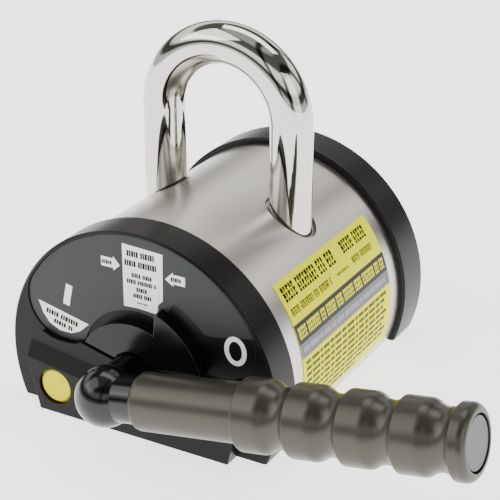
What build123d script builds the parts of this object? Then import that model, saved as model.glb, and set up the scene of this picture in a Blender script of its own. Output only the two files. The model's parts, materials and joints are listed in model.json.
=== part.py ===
from build123d import *
from math import asin, atan2, cos, degrees, hypot, radians, sin, sqrt
import os

# Switchable permanent-magnet lifting magnet: a short round body lying on its flat working face, a
# fixed lifting bail across the top, and a turning handle on the front cap that swings from OFF to ON.
# Origin: centre of the working face. +Z up, the dial and handle face -Y, +X to the right of the dial.
# All sizes are millimetres.

# ---- round body ----
cap_radius = 63.5             # end caps
centre_z = 23.5               # centre of the round section above the working face
body_length = 139.7
front_cap_thickness = 16.8
rear_cap_thickness = 19.2
cap_chamfer = 0.8
shroud_step = 2.7             # caps stand proud of the sheet by this much
shroud_wall = 1.0
shroud_lift = 0.5             # lower edges of the sheet stay clear of the load
sheet_clearance = 0.3         # between the sheet and the poles

# ---- magnetic circuit ----
rotor_rise = 3.1              # rotor axis above the centre of the round section
rotor_radius = 21.5
rotor_gap = 0.6
rotor_end_play = 2.2
rotor_plate = 5.0
rotor_magnet_width = 16.0
rotor_magnet_inset = 2.5      # magnet ends inside the rotor's surface
magnet_count = 4
magnet_spacing = 0.6          # between magnets in a row
slot_width = 14.0             # non-magnetic gap between the two poles
top_spacer_thickness = 8.9    # above the fixed magnets
stator_magnet_clearance = 1.4  # above the rotor bore

# ---- bail ----
bail_bar_radius = 9.1
bail_half_spacing = 30.9
bail_y = 2.0
bail_top_z = 145.4            # centreline of the crown
bail_seat_z = 45.0
bail_fit = 0.1
bail_sheet_gap = 1.75         # between the bar and the sheet
bail_pin_radius = 3.0
bail_pin_z = 56.0
bail_pin_inner_x = 18.5
bail_pin_length = 28.5
pin_fit = 0.02

# ---- front face: dial recess, pad and latch housing ----
recess_depth = 1.2
recess_radius = 61.3
recess_rise = 1.0             # recess centre above the body centre
lobe_radius = 17.0
lobe_x = 37.2
lobe_z = 48.5
recess_corner_x = 27.1
recess_corner_z = 33.3
recess_floor_x = 33.5         # inner end of the straight run under each lobe
vee_depth_z = 26.7            # lowest point of the recess, on the middle line
pad_proud = 2.1
pad_corner_x = 51.9
pad_corner_z = 29.1
pad_top_x = 46.5
pad_top_z = 34.0
housing_proud = 7.4
housing_bottom_x = 45.6
housing_top_x = 52.2
housing_top_z = 28.75
housing_vee_z = 21.5
housing_bevel = 5.2
dial_thickness = 0.6
dial_clearance = 0.3
dial_bore_radius = 27.5
dial_bore_rise = 2.0

# ---- raised cover round the handle stem ----
cover_proud = 4.7
cover_radius = 26.3
cover_drop = 0.5              # its round part is centred this far below the body centre
guard_radius = 33.1
guard_rise = 2.3
guard_start_angle = 15.0
guard_end_angle = 70.0
guard_root_x = 10.4
cover_corner_angle = 150.0
cover_vee_rise = 6.95
cover_lip = 1.0                # between the cover's right run and the recess corner
cover_gap = 0.4               # to the dial plate

# ---- handle ----
stem_radius = 9.7
stem_fit = 0.08
stem_clearance = 0.7
stem_bore_radius = 6.05
shaft_tip_radius = 6.0
shaft_neck_radius = 7.0
shaft_collar_radius = 9.0
ball_radius = 12.5
ball_reach = 23.6             # ball centre in front of the front cap's face
rest_tilt = 9.3               # the grip rises this many degrees in OFF
stem_pin_radius = 2.0
neck_radius = 9.6
tube_start = 17.3
tube_end = 64.9
tube_radius = 11.65
tube_edge = 2.2
spigot_radius = 9.0
spigot_length = 10.0
rod_radius = 6.0
rod_fit = 0.05
rod_seat = 4.0
rib_radius = 14.2
rib_pitch = 21.4
rib_count = 4
rib_edge = 0.8
rib_flat = 9.2
rib_shoulder = 3.2
groove_radius = 11.65
grip_end = 157.0
grip_end_round = 3.0
end_pocket_radius = 10.6
end_pocket_depth = 3.4
end_nut_radius = 10.0
end_nut_thickness = 3.0
end_nut_chamfer = 0.4
rod_end_gap = 1.5             # rod stops short of the pocket floor
rib_shoulder_drop = 1.2
rib_shoulder_bow = 0.3
shaft_tip_wall = 3.0          # ball material left in front of the shaft
stem_pin_inset = 0.2          # pin ends below the stem's surface

# ---- latch ----
button_x = -37.5
button_z = 12.2
button_radius = 7.5
button_gap = 0.5
button_sink = 1.05            # face below the housing's front
button_flange_radius = 9.2
button_flange = 1.5
button_chamfer = 0.6
button_wall = 2.25            # housing wall in front of the flange
button_stem_radius = 3.0
button_pocket_radius = 9.6
guide_radius = 10.4
guide_thickness = 2.0
guide_fit = 0.3
guide_depth = 2.35            # behind the front face
spring_radius = 6.2
spring_wire = 0.45
spring_turns = 3
lever_depth = 6.85            # behind the front face
lever_thickness = 4.0
lever_width = 6.0
lever_pivot_reach = 28.0      # from the rotor axis
pawl_reach = 17.0
pawl_size = 5.0
pawl_depth = 3.7
lever_pin_radius = 1.5
lever_pin_length = 15.0
lever_side_gap = 0.5
lever_corner = 1.0
lever_overrun = 2.0           # past the button's axis
lever_front_gap = 4.6         # room for the lever to rock
lever_slot_wall = 0.4
running_gap = 0.1
cut_overrun = 1.0
detent_radius = 20.5
detent_depth = 10.35          # behind the front face
detent_thickness = 4.0
detent_groove_inner = 13.0
detent_groove_depth = 2.8
detent_end_gap = 0.8
detent_rim_gap = 1.0
detent_groove_overrun = 2.0
pawl_side_gap = 0.6
handle_travel = 162.0

# ---- bearings and screws ----
bush_radius = 12.5
bush_end_gap = 0.3
bush_shoulder = 1.65          # cap material left in front of the front bush
rear_journal_radius = 8.0
rear_bush_radius = 12.0
rear_bush_length = 12.0
journal_end_gap = 1.0
screw_radius = 3.0
screw_head_radius = 5.0
screw_head_height = 6.0
screw_hole_clearance = 0.1
screw_head_clearance = 0.5
screw_tip_gap = 1.0
screw_grip = 16.0             # thread length in the pole
socket_across_flats = 5.0
cap_screw_points = [(24.0, 70.0), (42.0, 40.0)]
rotor_screw_radius = 2.0
rotor_screw_head_radius = 3.5
rotor_screw_head_gap = 0.2
rotor_screw_sink = 0.3        # head below the plate's face
rotor_screw_tip_gap = 0.5
rotor_screw_length = 14.0
rotor_screw_wall = 5.5        # screw axis outside the magnets
rotor_screw_rim = 13.5        # rotor radius less the screws' height

# ---- side label ----
label_thickness = 0.3
label_front_gap = 11.35       # from the front cap
label_rear_gap = 9.65         # from the rear cap
label_top_angle = 41.3
label_bottom_angle = -16.0

# ---- derived places ----
front_y = -body_length / 2
rear_y = body_length / 2
guide_y = front_y + guide_depth
lever_y = front_y + lever_depth
detent_front_y = front_y + detent_depth
bail_sheet_hole_radius = bail_bar_radius + bail_sheet_gap
rotor_magnet_height = 2 * (rotor_radius - rotor_magnet_inset)
rotor_screw_x = rotor_magnet_width / 2 + rotor_screw_wall
rotor_screw_z = rotor_radius - rotor_screw_rim
front_cap_back_y = front_y + front_cap_thickness
rear_cap_front_y = rear_y - rear_cap_thickness
label_front_y = front_cap_back_y + label_front_gap
label_rear_y = rear_cap_front_y - label_rear_gap
shroud_radius = cap_radius - shroud_step
pole_radius = shroud_radius - shroud_wall - sheet_clearance
bore_radius = rotor_radius + rotor_gap
rotor_z = centre_z + rotor_rise
recess_y = front_y + recess_depth
housing_front_y = front_y - housing_proud
ball_y = front_y - ball_reach
rotor_front_y = front_cap_back_y + rotor_end_play
rotor_rear_y = rear_cap_front_y - rotor_end_play
stator_magnet_z = rotor_z + bore_radius + stator_magnet_clearance
top_spacer_z = centre_z + pole_radius - top_spacer_thickness
stator_magnet_height = top_spacer_z - stator_magnet_z
stem_back_y = detent_front_y
shaft_tip_y = ball_y + ball_radius - shaft_tip_wall
pocket_y = detent_front_y - detent_end_gap
bush_front_y = recess_y + bush_shoulder
lever_reach = hypot(button_x, button_z - rotor_z)
lever_angle = degrees(atan2(button_z - rotor_z, button_x))
lever_out = (cos(radians(lever_angle)), sin(radians(lever_angle)))


def facing_front(y):
    """Sketch plane across the body at depth y; it extrudes towards the front."""
    return Plane.XZ.offset(-y)


def along_lever(reach):
    """Point on the latch line, this far from the rotor axis, as (x, z)."""
    return (reach * lever_out[0], rotor_z + reach * lever_out[1])


def round_section(radius, lift=0.0):
    """Draw the body's round section with its flat underside in the open sketch."""
    with Locations((0, centre_z)):
        Circle(radius)
    with Locations((0, lift - radius)):
        Rectangle(3 * radius, 2 * radius, mode=Mode.SUBTRACT)


def recess_outline(inset=0.0):
    """Draw the dial recess in the open sketch: a wide arc on top and a round lobe at each end."""
    big_z = centre_z + recess_rise
    reach = atan2(lobe_z - big_z, lobe_x)
    tangent = (recess_radius * cos(reach), big_z + recess_radius * sin(reach))
    low_z = lobe_z - lobe_radius
    with BuildLine() as outline:
        for side in (1, -1):
            ThreePointArc((0, big_z + recess_radius),
                          (side * recess_radius * cos(radians(65)),
                           big_z + recess_radius * sin(radians(65))),
                          (side * tangent[0], tangent[1]))
            ThreePointArc((side * tangent[0], tangent[1]),
                          (side * (lobe_x + lobe_radius * cos(radians(-30))),
                           lobe_z + lobe_radius * sin(radians(-30))),
                          (side * lobe_x, low_z))
            Line((side * lobe_x, low_z), (side * recess_floor_x, low_z))
            TangentArc((side * recess_floor_x, low_z), (side * recess_corner_x, recess_corner_z),
                       tangent=(-side, 0))
            Line((side * recess_corner_x, recess_corner_z), (0, vee_depth_z))
    make_face(outline.edges())
    if inset:
        offset(amount=-inset, mode=Mode.REPLACE)


def cover_outline():
    """Draw the stem cover in the open sketch: a round part, a larger guard sector, a low vee."""
    round_z = centre_z - cover_drop
    guard_z = centre_z + guard_rise
    corner = (cover_radius * cos(radians(cover_corner_angle)),
              round_z + cover_radius * sin(radians(cover_corner_angle)))
    guard_start = (guard_radius * cos(radians(guard_start_angle)),
                   guard_z + guard_radius * sin(radians(guard_start_angle)))
    guard_end = (guard_radius * cos(radians(guard_end_angle)),
                 guard_z + guard_radius * sin(radians(guard_end_angle)))
    guard_middle = radians((guard_start_angle + guard_end_angle) / 2)
    root = (guard_root_x, round_z + sqrt(cover_radius ** 2 - guard_root_x ** 2))
    with BuildLine() as outline:
        Polyline(corner, (0, centre_z + cover_vee_rise),
                 (recess_corner_x, recess_corner_z + cover_lip), guard_start)
        ThreePointArc(guard_start,
                      (guard_radius * cos(guard_middle), guard_z + guard_radius * sin(guard_middle)),
                      guard_end)
        Line(guard_end, root)
        ThreePointArc(root, (0, round_z + cover_radius), corner)
    make_face(outline.edges())


def screw_points():
    """The cap screws' places on both sides of the middle plane."""
    return [(side * x, z) for side in (-1, 1) for x, z in cap_screw_points]


def save(part, name):
    """Label a finished piece and write it."""
    part.label = name
    export_step(part, f"parts/{name}.step")


# ================= magnetic circuit: poles, spacers, fixed magnets =================
def make_pole(side):
    with BuildPart() as pole:
        with BuildSketch(facing_front(rear_cap_front_y)):
            round_section(pole_radius)
            with Locations((-side * (pole_radius - slot_width / 2), centre_z)):
                Rectangle(2 * pole_radius, 3 * pole_radius, mode=Mode.SUBTRACT)
            with Locations((0, rotor_z)):
                Circle(bore_radius, mode=Mode.SUBTRACT)
        extrude(amount=rear_cap_front_y - front_cap_back_y)
        with BuildSketch(Plane.XY.offset(bail_seat_z)):
            with Locations((side * bail_half_spacing, bail_y)):
                Circle(bail_bar_radius + bail_fit)
        extrude(amount=pole_radius, mode=Mode.SUBTRACT)
        with BuildSketch(Plane.YZ.offset(side * bail_pin_inner_x)):
            with Locations((bail_y, bail_pin_z)):
                Circle(bail_pin_radius + pin_fit)
        extrude(amount=side * pole_radius, mode=Mode.SUBTRACT)
        points = [(side * x, z) for x, z in cap_screw_points]
        with BuildSketch(facing_front(front_cap_back_y + screw_grip)):
            with Locations(*points):
                Circle(screw_radius + screw_hole_clearance)
        extrude(amount=screw_grip, mode=Mode.SUBTRACT)
        with BuildSketch(facing_front(rear_cap_front_y)):
            with Locations(*points):
                Circle(screw_radius + screw_hole_clearance)
        extrude(amount=screw_grip, mode=Mode.SUBTRACT)
    return pole.part


def make_top_spacer():
    with BuildPart() as spacer:
        with BuildSketch(facing_front(rear_cap_front_y)):
            with Locations((0, centre_z)):
                Circle(pole_radius)
            with Locations((0, top_spacer_z + pole_radius)):
                Rectangle(slot_width, 2 * pole_radius, mode=Mode.INTERSECT)
        extrude(amount=rear_cap_front_y - front_cap_back_y)
    return spacer.part


def make_bottom_spacer():
    height = rotor_z - bore_radius - rotor_gap
    with BuildPart() as spacer:
        with BuildSketch(facing_front(rear_cap_front_y)):
            with Locations((0, height / 2)):
                Rectangle(slot_width, height)
        extrude(amount=rear_cap_front_y - front_cap_back_y)
    return spacer.part


def make_magnet_row(width, height, low_z, start_y, end_y):
    """A row of separate magnet blocks between two depths."""
    pitch = (end_y - start_y) / magnet_count
    with BuildPart() as row:
        for index in range(magnet_count):
            with BuildSketch(facing_front(start_y + (index + 1) * pitch - magnet_spacing / 2)):
                with Locations((0, low_z + height / 2)):
                    Rectangle(width, height)
            extrude(amount=pitch - magnet_spacing)
    return row.part


# ================= body: sheet, caps, label =================
def make_shroud():
    with BuildPart() as shroud:
        with BuildSketch(facing_front(rear_cap_front_y)):
            round_section(shroud_radius, shroud_lift)
            with Locations((0, centre_z)):
                Circle(shroud_radius - shroud_wall, mode=Mode.SUBTRACT)
        extrude(amount=rear_cap_front_y - front_cap_back_y)
        with BuildSketch(Plane.XY.offset(bail_seat_z)):
            with Locations((-bail_half_spacing, bail_y), (bail_half_spacing, bail_y)):
                Circle(bail_sheet_hole_radius)
        extrude(amount=2 * shroud_radius, mode=Mode.SUBTRACT)
    return shroud.part


def make_side_label():
    with BuildPart() as label:
        with BuildSketch(facing_front(label_rear_y)):
            inner = shroud_radius
            outer = shroud_radius + label_thickness
            low, high = radians(label_bottom_angle), radians(label_top_angle)
            middle = (low + high) / 2
            with BuildLine():
                for radius in (inner, outer):
                    ends = [(radius * cos(a), centre_z + radius * sin(a)) for a in (low, middle, high)]
                    ThreePointArc(*ends)
                for angle in (low, high):
                    Line((inner * cos(angle), centre_z + inner * sin(angle)),
                         (outer * cos(angle), centre_z + outer * sin(angle)))
            make_face()
        extrude(amount=label_rear_y - label_front_y)
    return label.part


def make_front_cap():
    with BuildPart() as cap:
        with BuildSketch(facing_front(front_cap_back_y)):
            round_section(cap_radius)
        extrude(amount=front_cap_thickness)
        chamfer(cap.edges().filter_by(GeomType.CIRCLE), cap_chamfer)
        with BuildSketch(facing_front(front_y)):
            Polygon((-housing_bottom_x, 0), (housing_bottom_x, 0), (pad_corner_x, pad_corner_z),
                    (pad_top_x, pad_top_z), (-pad_top_x, pad_top_z), (-pad_corner_x, pad_corner_z),
                    align=None)
        extrude(amount=pad_proud)
        with BuildSketch(facing_front(recess_y)):
            recess_outline()
        extrude(amount=recess_depth + pad_proud, mode=Mode.SUBTRACT)
        with BuildSketch(facing_front(front_y)):
            Polygon((-housing_bottom_x, 0), (housing_bottom_x, 0), (housing_top_x, housing_top_z),
                    (0, housing_vee_z), (-housing_top_x, housing_top_z), align=None)
        extrude(amount=housing_proud)
        housing_top = (cap.faces().filter_by(Axis.Y).sort_by(Axis.Y)[0].edges()
                       .filter_by(lambda e: e.center().Z > housing_vee_z))
        chamfer(housing_top, housing_bevel)
        # stem passage, bush seat and detent pocket
        with BuildSketch(facing_front(front_cap_back_y)):
            with Locations((0, rotor_z)):
                Circle(stem_radius + stem_clearance)
        extrude(amount=front_cap_thickness + housing_proud, mode=Mode.SUBTRACT)
        with BuildSketch(facing_front(front_cap_back_y)):
            with Locations((0, rotor_z)):
                Circle(bush_radius + pin_fit)
        extrude(amount=front_cap_back_y - bush_front_y, mode=Mode.SUBTRACT)
        with BuildSketch(facing_front(front_cap_back_y)):
            with Locations((0, rotor_z)):
                Circle(detent_radius + detent_rim_gap)
        extrude(amount=front_cap_back_y - pocket_y, mode=Mode.SUBTRACT)
        # button hole, flange pocket and guide seat
        for y_back, y_front, radius in (
                (guide_y, housing_front_y - cut_overrun, button_radius + button_gap),
                (guide_y, housing_front_y + button_wall, button_pocket_radius),
                (front_cap_back_y, guide_y, guide_radius + pin_fit)):
            with BuildSketch(facing_front(y_back)):
                with Locations((button_x, button_z)):
                    Circle(radius)
            extrude(amount=y_back - y_front, mode=Mode.SUBTRACT)
        # lever slot along the latch line, and the seats of its pin
        slot_length = lever_reach - bush_radius - lever_slot_wall
        slot_middle = along_lever(lever_reach - slot_length / 2)
        slot_front_y = lever_y - lever_thickness / 2 - lever_front_gap
        with BuildSketch(facing_front(front_cap_back_y)):
            with Locations(Location(slot_middle, lever_angle)):
                Rectangle(slot_length, lever_width + 2 * lever_side_gap)
        extrude(amount=front_cap_back_y - slot_front_y, mode=Mode.SUBTRACT)
        with BuildSketch(lever_pin_plane()):
            Circle(lever_pin_radius + pin_fit)
        extrude(amount=lever_pin_length, mode=Mode.SUBTRACT)
        # screw holes under the dial
        with BuildSketch(facing_front(front_cap_back_y)):
            with Locations(*screw_points()):
                Circle(screw_radius + screw_hole_clearance)
        extrude(amount=front_cap_thickness, mode=Mode.SUBTRACT)
        with BuildSketch(facing_front(recess_y + screw_head_height + screw_head_clearance)):
            with Locations(*screw_points()):
                Circle(screw_head_radius + screw_head_clearance)
        extrude(amount=front_cap_thickness, mode=Mode.SUBTRACT)
    return cap.part


def make_rear_cap():
    head_depth = screw_head_height + screw_head_clearance
    with BuildPart() as cap:
        with BuildSketch(facing_front(rear_y)):
            round_section(cap_radius)
        extrude(amount=rear_cap_thickness)
        chamfer(cap.edges().filter_by(GeomType.CIRCLE), cap_chamfer)
        with BuildSketch(facing_front(rear_cap_front_y + rear_bush_length)):
            with Locations((0, rotor_z)):
                Circle(rear_bush_radius + pin_fit)
        extrude(amount=rear_bush_length, mode=Mode.SUBTRACT)
        with BuildSketch(facing_front(rear_y)):
            with Locations(*screw_points()):
                Circle(screw_radius + screw_hole_clearance)
        extrude(amount=rear_cap_thickness, mode=Mode.SUBTRACT)
        with BuildSketch(facing_front(rear_y)):
            with Locations(*screw_points()):
                Circle(screw_head_radius + screw_head_clearance)
        extrude(amount=head_depth, mode=Mode.SUBTRACT)
    return cap.part


def make_cap_screws(head_y, direction):
    """Socket screws; direction is 1 where they point to the back and -1 to the front."""
    shank = screw_grip - screw_tip_gap
    seat_y = head_y + direction * screw_head_height
    tip_y = (front_cap_back_y + shank) if direction > 0 else (rear_cap_front_y - shank)
    with BuildPart() as screws:
        with BuildSketch(facing_front(max(head_y, seat_y))):
            with Locations(*screw_points()):
                Circle(screw_head_radius)
        extrude(amount=screw_head_height)
        with BuildSketch(facing_front(max(seat_y, tip_y))):
            with Locations(*screw_points()):
                Circle(screw_radius)
        extrude(amount=abs(tip_y - seat_y))
        socket = screw_head_height / 2
        with BuildSketch(facing_front(max(head_y, head_y + direction * socket))):
            with Locations(*screw_points()):
                RegularPolygon(socket_across_flats / 2, 6, major_radius=False)
        extrude(amount=socket, mode=Mode.SUBTRACT)
    return screws.part


# ================= front trim =================
def make_dial_plate():
    with BuildSketch() as cover_hole:
        cover_outline()
        offset(amount=cover_gap, mode=Mode.REPLACE)
    with BuildPart() as dial:
        with BuildSketch(facing_front(recess_y)):
            recess_outline(dial_clearance)
            with Locations((0, centre_z + dial_bore_rise)):
                Circle(dial_bore_radius, mode=Mode.SUBTRACT)
            add(cover_hole.sketch, mode=Mode.SUBTRACT)
        extrude(amount=dial_thickness)
    return dial.part


def make_hub_cover():
    with BuildPart() as cover:
        with BuildSketch(facing_front(recess_y)):
            cover_outline()
            with Locations((0, rotor_z)):
                Circle(stem_radius + stem_clearance, mode=Mode.SUBTRACT)
        extrude(amount=recess_depth + cover_proud)
    return cover.part


# ================= bail =================
def make_bail():
    crown_z = bail_top_z - bail_half_spacing
    with BuildPart() as bail:
        with BuildLine() as path:
            Line((-bail_half_spacing, bail_y, bail_seat_z), (-bail_half_spacing, bail_y, crown_z))
            ThreePointArc((-bail_half_spacing, bail_y, crown_z), (0, bail_y, bail_top_z),
                          (bail_half_spacing, bail_y, crown_z))
            Line((bail_half_spacing, bail_y, crown_z), (bail_half_spacing, bail_y, bail_seat_z))
        with BuildSketch(Plane.XY.offset(bail_seat_z)):
            with Locations((-bail_half_spacing, bail_y)):
                Circle(bail_bar_radius)
        sweep(path=path.line)
        with BuildSketch(Plane.YZ.offset(-2 * bail_half_spacing)):
            with Locations((bail_y, bail_pin_z)):
                Circle(bail_pin_radius + pin_fit)
        extrude(amount=4 * bail_half_spacing, mode=Mode.SUBTRACT)
    return bail.part


def make_bail_pins():
    with BuildPart() as pins:
        for side in (-1, 1):
            with BuildSketch(Plane.YZ.offset(side * bail_pin_inner_x)):
                with Locations((bail_y, bail_pin_z)):
                    Circle(bail_pin_radius)
            extrude(amount=side * bail_pin_length)
    return pins.part


# ================= rotor =================
def make_rotor_poles():
    with BuildPart() as poles:
        with BuildSketch(facing_front(rotor_rear_y - rotor_plate)):
            with Locations((0, rotor_z)):
                Circle(rotor_radius)
                Rectangle(rotor_magnet_width, 3 * rotor_radius, mode=Mode.SUBTRACT)
        extrude(amount=rotor_rear_y - rotor_front_y - 2 * rotor_plate)
        for y_back in (rotor_rear_y - rotor_plate, rotor_front_y + rotor_screw_length):
            with BuildSketch(facing_front(y_back)):
                with Locations(*rotor_screw_points()):
                    Circle(rotor_screw_radius + pin_fit)
            extrude(amount=rotor_screw_length - rotor_plate, mode=Mode.SUBTRACT)
    return poles.part


def rotor_screw_points():
    """The rotor plate screws' places, two in each half of the rotor."""
    return [(x, rotor_z + z) for x in (-rotor_screw_x, rotor_screw_x)
            for z in (-rotor_screw_z, rotor_screw_z)]


def make_rotor_plate_holes(face_y, direction):
    """The screw holes of a rotor plate, as a tool to cut with; its outer face is at face_y."""
    with BuildPart() as holes:
        for depth, radius in ((rotor_plate, rotor_screw_radius + pin_fit),
                              (rotor_plate / 2, rotor_screw_head_radius + rotor_screw_head_gap)):
            with BuildSketch(facing_front(max(face_y, face_y + direction * depth))):
                with Locations(*rotor_screw_points()):
                    Circle(radius)
            extrude(amount=depth)
    return holes.part


def make_rotor_shaft():
    """Front end plate of the rotor with the drive shaft."""
    collar_front_y = detent_front_y + detent_thickness
    with BuildPart() as shaft:
        for y_back, y_front, radius in (
                (rotor_front_y + rotor_plate, rotor_front_y, rotor_radius),
                (rotor_front_y, collar_front_y, shaft_collar_radius),
                (collar_front_y, detent_front_y, shaft_neck_radius),
                (detent_front_y, shaft_tip_y, shaft_tip_radius)):
            with BuildSketch(facing_front(y_back)):
                with Locations((0, rotor_z)):
                    Circle(radius)
            extrude(amount=y_back - y_front)
        add(make_rotor_plate_holes(rotor_front_y, 1), mode=Mode.SUBTRACT)
        with BuildSketch(stem_pin_plane()):
            Circle(stem_pin_radius + pin_fit)
        extrude(amount=2 * stem_radius, mode=Mode.SUBTRACT)
    return shaft.part


def make_rotor_rear_plate():
    """Rear end plate of the rotor with its journal."""
    journal_end_y = rear_cap_front_y + rear_bush_length - journal_end_gap
    with BuildPart() as plate:
        with BuildSketch(facing_front(rotor_rear_y)):
            with Locations((0, rotor_z)):
                Circle(rotor_radius)
        extrude(amount=rotor_plate)
        with BuildSketch(facing_front(journal_end_y)):
            with Locations((0, rotor_z)):
                Circle(rear_journal_radius)
        extrude(amount=journal_end_y - rotor_rear_y)
        add(make_rotor_plate_holes(rotor_rear_y, -1), mode=Mode.SUBTRACT)
    return plate.part


def make_rotor_screws():
    head = rotor_plate / 2
    with BuildPart() as screws:
        for face_y, direction in ((rotor_front_y, 1), (rotor_rear_y, -1)):
            tip_y = face_y + direction * (rotor_screw_length - rotor_screw_tip_gap)
            seat_y = face_y + direction * head
            head_y = face_y + direction * rotor_screw_sink
            for start, end, radius in ((head_y, seat_y, rotor_screw_head_radius),
                                       (seat_y, tip_y, rotor_screw_radius)):
                with BuildSketch(facing_front(max(start, end))):
                    with Locations(*rotor_screw_points()):
                        Circle(radius)
                extrude(amount=abs(end - start))
    return screws.part


def make_detent_disc():
    """Disc on the shaft with the groove that the latch pawl runs in."""
    half_width = pawl_size / 2 + pawl_side_gap
    pawl_half = degrees(asin(half_width / (pawl_reach - pawl_size / 2)))
    start = lever_angle + 360 - handle_travel - pawl_half
    sweep_angle = handle_travel + 2 * pawl_half
    with BuildPart() as disc:
        with BuildSketch(facing_front(detent_front_y + detent_thickness)):
            with Locations((0, rotor_z)):
                Circle(detent_radius)
                Circle(shaft_neck_radius + pin_fit, mode=Mode.SUBTRACT)
        extrude(amount=detent_thickness)
        with BuildSketch(facing_front(detent_front_y + detent_groove_depth)):
            with BuildLine():
                ends = []
                for radius in (detent_groove_inner, detent_radius + detent_groove_overrun):
                    points = [(radius * cos(radians(start + share * sweep_angle)),
                               rotor_z + radius * sin(radians(start + share * sweep_angle)))
                              for share in (0.0, 0.5, 1.0)]
                    ThreePointArc(*points)
                    ends.append((points[0], points[2]))
                Line(ends[0][0], ends[1][0])
                Line(ends[0][1], ends[1][1])
            make_face()
        extrude(amount=detent_groove_depth, mode=Mode.SUBTRACT)
    return disc.part


def make_front_bearing():
    back_y = detent_front_y - bush_end_gap
    with BuildPart() as bush:
        with BuildSketch(facing_front(back_y)):
            with Locations((0, rotor_z)):
                Circle(bush_radius)
                Circle(stem_radius + stem_fit, mode=Mode.SUBTRACT)
        extrude(amount=back_y - bush_front_y)
    return bush.part


def make_rear_bearing():
    with BuildPart() as bush:
        with BuildSketch(facing_front(rear_cap_front_y + rear_bush_length)):
            with Locations((0, rotor_z)):
                Circle(rear_bush_radius)
                Circle(rear_journal_radius + stem_fit, mode=Mode.SUBTRACT)
        extrude(amount=rear_bush_length)
    return bush.part


# ================= handle =================
grip_direction = Vector(cos(radians(rest_tilt)), 0, sin(radians(rest_tilt)))
ball_centre = Vector(0, ball_y, rotor_z)
grip_axis = Axis(ball_centre, grip_direction)
grip_plane = Plane(origin=ball_centre, x_dir=grip_direction, z_dir=(0, -1, 0))
rod_length = grip_end - end_pocket_depth - rod_end_gap


def across_grip(reach):
    """Sketch plane across the grip, this far from the ball centre, extruding outwards."""
    return Plane(origin=ball_centre + grip_direction * reach, x_dir=(0, -1, 0), z_dir=grip_direction)


def stem_pin_plane():
    """Plane across the stem pin at its lower end, inside the front bush."""
    return Plane(origin=(0, (bush_front_y + detent_front_y) / 2, rotor_z - stem_radius + stem_pin_inset),
                 x_dir=(1, 0, 0), z_dir=(0, 0, 1))


def make_handle_ball():
    """Glossy moulding: stem, ball and the short neck that the tube butts against."""
    meet = sqrt(ball_radius ** 2 - stem_radius ** 2)
    with BuildPart() as ball:
        with BuildSketch(Plane.YZ):
            with BuildLine():
                Polyline((ball_y - ball_radius, rotor_z), (stem_back_y, rotor_z),
                         (stem_back_y, rotor_z + stem_radius), (ball_y + meet, rotor_z + stem_radius))
                ThreePointArc((ball_y + meet, rotor_z + stem_radius), (ball_y, rotor_z + ball_radius),
                              (ball_y - ball_radius, rotor_z))
            make_face()
        revolve(axis=Axis((0, 0, rotor_z), (0, 1, 0)))
        with BuildSketch(across_grip(0)):
            Circle(neck_radius)
        extrude(amount=tube_start)
        with BuildSketch(facing_front(stem_back_y)):
            with Locations((0, rotor_z)):
                Circle(stem_bore_radius)
        extrude(amount=stem_back_y - shaft_tip_y, mode=Mode.SUBTRACT)
        with BuildSketch(across_grip(rod_seat)):
            Circle(rod_radius + rod_fit)
        extrude(amount=tube_start, mode=Mode.SUBTRACT)
        with BuildSketch(stem_pin_plane()):
            Circle(stem_pin_radius + pin_fit)
        extrude(amount=2 * stem_radius, mode=Mode.SUBTRACT)
    return ball.part


def make_stem_pin():
    with BuildPart() as pin:
        with BuildSketch(stem_pin_plane()):
            Circle(stem_pin_radius)
        extrude(amount=2 * (stem_radius - stem_pin_inset))
    return pin.part


def make_handle_tube():
    with BuildPart() as tube:
        with BuildSketch(grip_plane):
            with BuildLine():
                Line((tube_start, rod_radius + rod_fit), (tube_start, tube_radius - tube_edge))
                RadiusArc((tube_start, tube_radius - tube_edge), (tube_start + tube_edge, tube_radius),
                          tube_edge)
                Polyline((tube_start + tube_edge, tube_radius), (tube_end, tube_radius),
                         (tube_end, spigot_radius), (tube_end + spigot_length, spigot_radius),
                         (tube_end + spigot_length, rod_radius + rod_fit),
                         (tube_start, rod_radius + rod_fit))
            make_face()
        revolve(axis=grip_axis)
    return tube.part


def make_hand_grip():
    """Ribbed grip: each rib is a flat band that rounds over into the next finger groove."""
    with BuildPart() as grip:
        with BuildSketch(grip_plane):
            with BuildLine():
                Polyline((tube_end, spigot_radius + rod_fit), (tube_end, rib_radius - rib_edge))
                for index in range(rib_count):
                    start = tube_end + index * rib_pitch
                    flat_end = start + rib_flat
                    shoulder_end = flat_end + rib_shoulder
                    RadiusArc((start, rib_radius - rib_edge), (start + rib_edge, rib_radius), rib_edge)
                    Line((start + rib_edge, rib_radius), (flat_end, rib_radius))
                    ThreePointArc((flat_end, rib_radius),
                                  (flat_end + rib_shoulder / 2, rib_radius - rib_shoulder_bow),
                                  (shoulder_end, rib_radius - rib_shoulder_drop))
                    ThreePointArc((shoulder_end, rib_radius - rib_shoulder_drop),
                                  ((shoulder_end + start + rib_pitch) / 2, groove_radius),
                                  (start + rib_pitch, rib_radius - rib_edge))
                last = tube_end + rib_count * rib_pitch
                RadiusArc((last, rib_radius - rib_edge), (last + rib_edge, rib_radius), rib_edge)
                Line((last + rib_edge, rib_radius), (grip_end - grip_end_round, rib_radius))
                RadiusArc((grip_end - grip_end_round, rib_radius),
                          (grip_end, rib_radius - grip_end_round), grip_end_round)
                Polyline((grip_end, rib_radius - grip_end_round), (grip_end, end_pocket_radius),
                         (grip_end - end_pocket_depth, end_pocket_radius),
                         (grip_end - end_pocket_depth, rod_radius + rod_fit),
                         (tube_end + spigot_length, rod_radius + rod_fit),
                         (tube_end + spigot_length, spigot_radius + rod_fit),
                         (tube_end, spigot_radius + rod_fit))
            make_face()
        revolve(axis=grip_axis)
    return grip.part


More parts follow.
